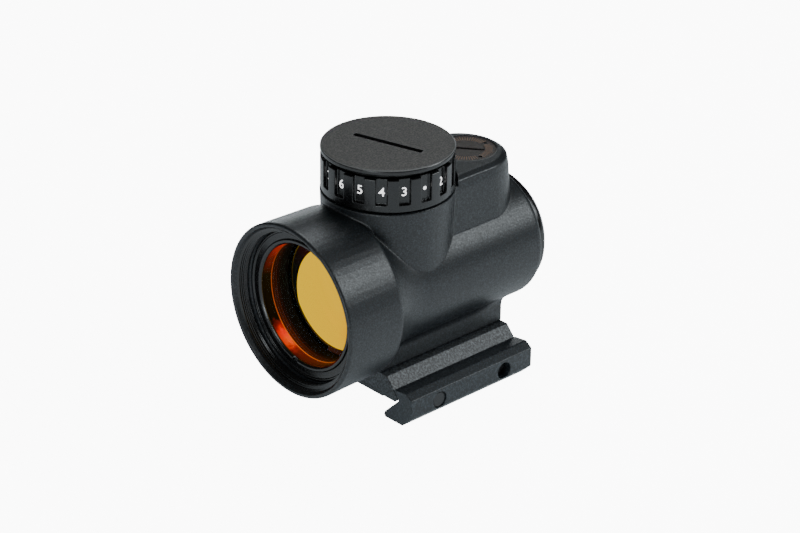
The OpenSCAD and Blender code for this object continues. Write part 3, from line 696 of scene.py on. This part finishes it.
# %% Wall glow finish
def lit_wall(name, by_angle, by_depth, depth_from, depth_to, strength):
    """Black wall with a glow: by_angle in degrees from the left side, by_depth from one x to another in mm."""
    material, tree, shader = finish(name, Roughness=0.5, IOR=1.5, Emission_Strength=strength)
    shader.inputs["Specular IOR Level"].default_value = 0.12
    place_in = add(tree, "ShaderNodeTexCoord").outputs["Object"]
    apart = add(tree, "ShaderNodeSeparateXYZ", {0: place_in})
    height = add(tree, "ShaderNodeMath", {0: apart.outputs["Z"], 1: OPTICAL.z * MM}, operation="SUBTRACT").outputs[0]
    angle = add(tree, "ShaderNodeMath", {0: height, 1: apart.outputs["Y"]}, operation="ARCTAN2").outputs[0]
    turned = add(tree, "ShaderNodeMath", {0: angle, 1: 2 * math.pi}, operation="FLOORED_MODULO").outputs[0]
    ripple = add(tree, "ShaderNodeTexNoise", {"Vector": place_in, "Scale": 1 / (1.6 * MM),
                                              "Detail": 3.0}).outputs["Fac"]
    wobble = add(tree, "ShaderNodeMath", {0: ripple, 1: 0.06, 2: -0.03}, operation="MULTIPLY_ADD").outputs[0]
    share = add(tree, "ShaderNodeMath", {0: turned, 1: 1 / (2 * math.pi), 2: wobble},
                operation="MULTIPLY_ADD").outputs[0]
    clock = ramp(tree, share, [(a / 360, c) for a, c in by_angle])
    depth = add(tree, "ShaderNodeMapRange", {"Value": apart.outputs["X"], "From Min": depth_from * MM,
                                             "From Max": depth_to * MM}).outputs["Result"]
    along = ramp(tree, depth, by_depth)
    glow = add(tree, "ShaderNodeVectorMath", {0: clock, 1: along}, operation="MULTIPLY").outputs["Vector"]
    tree.links.new(glow, shader.inputs["Emission Color"])
    dark = ramp(tree, ripple, [(0.3, tint("#040303")), (0.7, tint("#0a0706"))])
    tree.links.new(dark, shader.inputs["Base Color"])
    return material


GLASS_BACK, GLASS_FRONT = low("objective_window").x, high("objective_window").x
BAFFLE_BACK = 27.0
BLACK = (0, 0, 0, 1)
red_wall = lit_wall(
    "black_wall_in_red_light",
    [(0, BLACK), (70, tint("#400a04")), (105, tint("#8a1408")), (130, tint("#a81c0a")), (155, tint("#5a0c04")),
     (172, BLACK), (216, BLACK), (223, tint("#900c00")), (231, tint("#ff2c00")), (240, tint("#ff5a00")),
     (247, tint("#a82000")), (256, tint("#5c0c00")), (300, tint("#2c0600")), (359, BLACK)],
    [(0.0, (1, 1, 1, 1)), (0.35, (1, 0.8, 0.8, 1)), (0.75, (0.7, 0.45, 0.4, 1)), (1.0, (0.3, 0.12, 0.1, 1))],
    GLASS_BACK, RING_FRONT - 0.3, 1.3)
baffle_wall = lit_wall(
    "baffles_in_amber_light",
    [(0, tint("#806050")), (80, tint("#904030")), (110, tint("#a84028")), (140, tint("#905040")),
     (175, tint("#a87050")), (215, tint("#c88850")), (235, tint("#ffb070")), (262, tint("#e0a070")),
     (300, tint("#a07860")), (359, tint("#806050"))],
    [(0.0, BLACK), (0.30, tint("#060404")), (0.48, tint("#0c0606")), (0.56, tint("#30180e")), (0.62, tint("#100806")),
     (0.70, tint("#5a3420")), (0.78, tint("#28140c")), (0.84, tint("#70442a")), (0.90, tint("#3a1e10")),
     (0.965, tint("#201008")), (0.98, tint("#ff9a48")), (1.0, tint("#ffb868"))], BAFFLE_BACK, GLASS_BACK, 1.0)
cell_wall = lit_wall(
    "cell_in_amber_light",
    [(0, tint("#604050")), (95, tint("#c83c20")), (125, tint("#a03020")), (150, tint("#402020")),
     (180, tint("#202c28")), (210, tint("#303c38")), (240, tint("#80504a")), (262, tint("#a06050")),
     (300, tint("#604038")), (359, tint("#604050"))],
    [(0.0, (0.5, 0.5, 0.5, 1)), (1.0, (0.6, 0.6, 0.6, 1))], 25.0, BAFFLE_BACK, 0.25)
print("glass from", round(GLASS_BACK, 2), "to", round(GLASS_FRONT, 2), "mm")

# %% [markdown]
# ## Spacer, window and baffles
#
# A thin spacer stands between the window and the retaining ring; its wall carries the painted red glow. Behind the
# window a sleeve is cut with shallow teeth, the baffles, that catch stray light before it reaches the lens. Their
# edges are what show as fine lines, so each tooth is real geometry; bands of painted amber glow along the depth add
# more lines.

# %% Glass, spacer and baffles
EDGE_R, EDGE_WALL = 13.95, 0.12
spacer_profile = [(GLASS_BACK + 0.02, EDGE_R), (RING_FRONT - 0.72, EDGE_R),
                  (RING_FRONT - 0.72, EDGE_R + EDGE_WALL), (GLASS_BACK + 0.02, EDGE_R + EDGE_WALL)]
# the spacer's wall carries the painted red glow seen through the window
place("glass_edge_wall", spin(spacer_profile), red_wall, "housing")

WINDOW_R = EDGE_R - 0.05
window_profile = rounded([(GLASS_FRONT - 0.25, 0.0), (GLASS_FRONT - 0.25, WINDOW_R), (GLASS_FRONT - 0.05, WINDOW_R),
                          (GLASS_FRONT - 0.05, 0.0)], 3)
place("front_window", spin(window_profile), front_glass, "housing", ["objective_window"])

BAFFLE_R, TEETH, BAFFLE_SEAT = 13.8, 11, 17.25
step = (GLASS_BACK - 0.45 - BAFFLE_BACK) / TEETH
baffle_profile = [(low("baffle_ring").x, 16.35), (BAFFLE_BACK, 16.35), (BAFFLE_BACK, BAFFLE_R + 0.25)]
for i in range(TEETH):
    baffle_profile += [(BAFFLE_BACK + step * (i + 0.25), BAFFLE_R), (BAFFLE_BACK + step * (i + 0.45), BAFFLE_R),
                       (BAFFLE_BACK + step * (i + 1), BAFFLE_R + 0.22)]
baffle_profile += [(GLASS_BACK - 0.35, BAFFLE_R - 0.02), (GLASS_BACK - 0.02, BAFFLE_R + 0.02),
                   (GLASS_BACK - 0.02, BAFFLE_SEAT), (low("baffle_ring").x, BAFFLE_SEAT)]
place("baffles", spin(baffle_profile, around=240), baffle_wall, "housing", ["baffle_ring"])
print("baffle teeth every", round(step, 3), "mm")

# %% [markdown]
# ## The lens and its tab
#
# A sight like this throws its dot with a mirror that is ground off-centre, so that the lamp can
# sit beside the view. The opening in front of the lens is off-centre too, low and to the left,
# and the tab that carries the lamp's cable cuts a flat off its lower edge.

# %% Lens
LENS_BACK, CELL_FRONT = low("collimating_lens").x, high("lens_cell_ring").x
CELL_R = (high("lens_cell_ring").z - low("lens_cell_ring").z) / 2
FACE_R, FACE_X = CELL_R - 0.25, CELL_FRONT - 0.16
LENS_R, LENS_EDGE, BULGE = 13.3, 0.4, 0.12
face_profile = [(FACE_X - BULGE * (r / FACE_R) ** 2, r) for r in [FACE_R * k / 12 for k in range(13)]]
lens_profile = face_profile + [(FACE_X - LENS_EDGE, FACE_R), (FACE_X - LENS_EDGE, LENS_R), (LENS_BACK, LENS_R),
                               (LENS_BACK, 0.0)]
place("amber_lens", spin(lens_profile), amber_lens, BODY_OF["collimating_lens"], ["collimating_lens"], 50)
print("lens", round(2 * FACE_R, 1), "mm across")

# %% Cell ring
OPENING, OPENING_R = Vector((CELL_FRONT, 1.5, OPTICAL.z - 2.5)), 13.33
INNER_R = 13.0          # profile points up to this radius are moved onto the opening


def cell_opening(angle, along, radius):
    """Moves the inner edge of the cell ring onto the off-centre opening, and never past the ring's rim."""
    if radius > INNER_R:
        return along, radius
    y, z = OPENING.y, OPENING.z - OPTICAL.z
    c, s = math.cos(angle), math.sin(angle)
    reach = y * c + z * s + math.sqrt(max(OPENING_R ** 2 - (y * s - z * c) ** 2, 0))
    return along, min(reach + (INNER_R - radius), CELL_R - 0.3)


cell_profile = [(CELL_FRONT - 0.10, 13.0), (CELL_FRONT - 0.03, 12.95), (CELL_FRONT, 12.85),
                (CELL_FRONT, CELL_R - 0.12), (CELL_FRONT - 0.10, CELL_R - 0.02)]
place("cell_ring", spin(cell_profile, around=240, bend=cell_opening), cell_wall, BODY_OF["lens_cell_ring"],
      ["lens_cell_ring"])
print("opening radius", OPENING_R, "mm, off-centre by", round((OPENING - OPTICAL).yz.length, 2), "mm")

# %% Tab
TAB_THICK, TAB_EDGE = 0.30, 0.05
TAB_OUTLINE = [(-1.0, -14.2), (-1.0, -13.5), (-0.6, -13.3), (5.6, -12.2), (5.6, -13.2), (2.6, -14.05)]   # y, z
tab = bpy.data.meshes.new("tab")
work = bmesh.new()
corners = [work.verts.new(Vector((CELL_FRONT + TAB_THICK, y, OPTICAL.z + z)) * MM) for y, z in TAB_OUTLINE]
pushed = bmesh.ops.extrude_face_region(work, geom=[work.faces.new(corners)])
back = [v for v in pushed["geom"] if isinstance(v, bmesh.types.BMVert)]
bmesh.ops.translate(work, vec=Vector((-TAB_THICK, 0, 0)) * MM, verts=back)
bmesh.ops.recalc_face_normals(work, faces=work.faces)
bmesh.ops.bevel(work, geom=list(work.edges), offset=TAB_EDGE * MM, segments=2, affect="EDGES", profile=0.5)
work.to_mesh(tab)
work.free()
place("emitter_tab", tab, cell_wall, BODY_OF["lens_cell_ring"])
print("tab", TAB_THICK, "mm thick")

# %% [markdown]
# ## The rear ring
#
# The eyepiece ring closes the tube. It is turned with a 45 degree face and a small step where
# it meets the body, and a thin bright seam shows between the two.

# %% Rear ring
REAR, SEAM = low("ocular_ring").x, -23.9
rear_profile = rounded([
    (REAR + 4.4, 11.7), (REAR + 0.9, 11.7, 0.2), (REAR, 12.0, 0.1), (REAR + 0.02, 12.25, 0.1),
    (REAR + 0.2, 12.55, 0.15), (REAR + 1.7, 14.0, 0.4), (REAR + 2.3, 14.2, 0.2), (SEAM - 0.22, 14.28, 0.05),
    (SEAM - 0.05, 14.0, 0.05), (SEAM, 14.0), (SEAM, 13.7), (REAR + 4.4, 13.7)], 4)
place("rear_ring", spin(rear_profile), ring_black, "housing", ["ocular_ring"])
print("rear ring", round(high("ocular_ring").x - REAR, 2), "mm long")

# %% [markdown]
# ## Numerals on the dial
#
# The settings are engraved in the flats and filled with white paint: 11 down to 0 with a dot
# where the sight is off. Each numeral is a text turned into a mesh, a few hundredths of a
# millimetre thick, lying on its flat.

# %% Numerals
DIAL_STEP, FIRST_FLAT = 360 / 18, 2.2
FLAT_R, NUMERAL_Z, NUMERAL_HEIGHT = 13.9, 50.75, 2.0
PAINT_THICK, BOLD = 0.02, 0.02            # half the paint's depth, and how far the strokes are widened
FIGURE_SHARE, PAIR_SCALE = 0.69, 0.78     # a figure's height in the type's size; 10 and 11 are set smaller
DOT_R, DOT_LIFT = 0.42, 0.04
LABELS = ["6", "5", "4", "3", "", "2", "1", "0", "", "", "", "", "", "11", "10", "9", "8", "7"]
OFF_FLAT = 4


def numeral(label, degrees):
    """One painted numeral standing on its flat, facing outwards."""
    curve = bpy.data.curves.new("numeral", "FONT")
    curve.body = label
    curve.align_x, curve.align_y = "CENTER", "CENTER"
    curve.size = NUMERAL_HEIGHT / FIGURE_SHARE * (PAIR_SCALE if len(label) > 1 else 1)
    curve.offset = BOLD
    curve.extrude = PAINT_THICK
    curve.resolution_u = 6
    text = bpy.data.objects.new("numeral_text", curve)
    bpy.context.scene.collection.objects.link(text)
    bpy.context.view_layer.update()
    mesh = bpy.data.meshes.new_from_object(text.evaluated_get(bpy.context.evaluated_depsgraph_get()))
    bpy.data.objects.remove(text)
    a = math.radians(degrees)
    out, across = Vector((math.cos(a), math.sin(a), 0)), Vector((-math.sin(a), math.cos(a), 0))
    up = Vector((0, 0, 1))
    centre = TURRET + out * (FLAT_R + 0.01) + up * NUMERAL_Z
    lie = Matrix.Translation(centre) @ Matrix((across, up, out)).transposed().to_4x4()
    mesh.transform(Matrix.Scale(MM, 4) @ lie)
    return place(f"numeral_{label}", mesh, white_paint, "brightness_dial")


for i, label in enumerate(LABELS):
    if label:
        numeral(label, FIRST_FLAT + i * DIAL_STEP)
dot_profile = rounded([(FLAT_R, 0.0), (FLAT_R, DOT_R, 0.02), (FLAT_R + DOT_LIFT, DOT_R, 0.03),
                       (FLAT_R + DOT_LIFT, 0.0)], 2)
dot = spin(dot_profile, centre=(0, 0, 0), around=32)
dot.transform(Matrix.Translation((TURRET + Vector((0, 0, NUMERAL_Z + 0.1))) * MM)
              @ Matrix.Rotation(math.radians(FIRST_FLAT + OFF_FLAT * DIAL_STEP), 4, "Z"))
place("off_dot", dot, white_paint, "brightness_dial")
print(sum(1 for label in LABELS if label), "numerals and a dot")

# %% [markdown]
# ## The battery cap
#
# The cap is turned with a flat blasted top and a polished rim, and a coin slot is milled
# across it. It is remeshed fine, so the slot and the rim keep a tiny round that glints; the rim also carries a
# painted highlight.

# %% Cap
skin("battery_cap", 0.11, 2, 0.35, cap_finish)

# %% [markdown]
# ## The adjusters
#
# Two flush adjusters set the dot up and down, and left and right. Each has a slotted screw in
# a ring with four pin holes, and a scale of fine strokes engraved around the screw and filled
# with bronze paint. The strokes are real strips of paint, 0.13 mm wide, left out at the pin
# holes and longer at every fifth.

# %% Adjusters
for node in ("elevation_bezel", "windage_bezel", "elevation_knob", "windage_knob"):
    skin(node, 0.08, 1, 0.4, bronze_black)

STROKES, STROKE_WIDTH, STROKE_IN, STROKE_OUT, STROKE_LIFT = 60, 0.13, 4.35, 6.0, 0.012
PIN_HOLES = (83, 173, 263, 353)      # degrees


def scale_strokes(name, face, on_side):
    """A ring of painted strokes on an adjuster's face; face is its distance from the optical axis."""
    work = bmesh.new()
    for k in range(STROKES):
        a = 2 * math.pi * k / STROKES
        if away_from(a, PIN_HOLES) < 6:
            continue
        reach = STROKE_OUT if k % 5 else STROKE_OUT + 0.3
        out = Vector((math.cos(a), math.sin(a), 0))
        half = Vector((-math.sin(a), math.cos(a), 0)) * STROKE_WIDTH / 2
        quad = [out * STROKE_IN - half, out * reach - half, out * reach + half, out * STROKE_IN + half]
        lower = [work.verts.new(q + Vector((0, 0, face - 0.005))) for q in quad]
        upper = [work.verts.new(q + Vector((0, 0, face + STROKE_LIFT))) for q in quad]
        work.faces.new(upper)
        for i in range(4):
            work.faces.new((lower[i], lower[(i + 1) % 4], upper[(i + 1) % 4], upper[i]))
        work.faces.new(lower[::-1])
    tilt = Matrix.Rotation(math.radians(90), 4, "X") if on_side else Matrix.Identity(4)
    centre = Vector((middle("elevation_knob").x, 0, OPTICAL.z))
    bmesh.ops.transform(work, matrix=Matrix.Scale(MM, 4) @ Matrix.Translation(centre) @ tilt, verts=work.verts)
    bmesh.ops.recalc_face_normals(work, faces=work.faces)
    mesh = bpy.data.meshes.new(name)
    work.to_mesh(mesh)
    work.free()
    return place(name, mesh, bronze_paint, "housing")


scale_strokes("elevation_scale", high("elevation_bezel").z - OPTICAL.z, False)
scale_strokes("windage_scale", -low("windage_bezel").y, True)
print(STROKES, "strokes on each scale")

# %% [markdown]
# ## Floor, size and finish
#
# The floor lies just under the clamp and isn't part of the sight.

TABLE_LIGHT = 0.36                    # how bright the table is as a light; as a backdrop it matches the room
SIDE, GROUND = 4.0, cad_box[0][2]     # metres
floor_mesh = bpy.data.meshes.new("floor")
floor_mesh.from_pydata([(-SIDE, -SIDE, GROUND), (SIDE, -SIDE, GROUND), (SIDE, SIDE, GROUND), (-SIDE, SIDE, GROUND)],
                       [], [(0, 1, 2, 3)])
floor = bpy.data.objects.new("floor", floor_mesh)
bpy.context.scene.collection.objects.link(floor)
white_card, card_tree, card_shader = finish("white_card", Roughness=0.9)
grain = add(card_tree, "ShaderNodeTexNoise", {"Scale": 200.0}).outputs["Fac"]
card_tree.links.new(ramp(card_tree, grain, [(0.0, (0.94, 0.94, 0.94, 1)), (1.0, (0.97, 0.97, 0.97, 1))]),
                    card_shader.inputs["Base Color"])
card_seen = add(card_tree, "ShaderNodeLightPath").outputs["Is Camera Ray"]
card_glow = add(card_tree, "ShaderNodeMapRange", {"Value": card_seen, "To Min": TABLE_LIGHT, "To Max": ROOM_SEEN})
card_tree.links.new(card_glow.outputs["Result"], card_shader.inputs["Emission Strength"])
card_cool = ramp(card_tree, card_seen, [(0.0, (0.80, 0.92, 1.0, 1)), (1.0, (1, 1, 1, 1))])
card_tree.links.new(card_cool, card_shader.inputs["Emission Color"])
floor.data.materials.append(white_card)

bpy.context.view_layer.update()
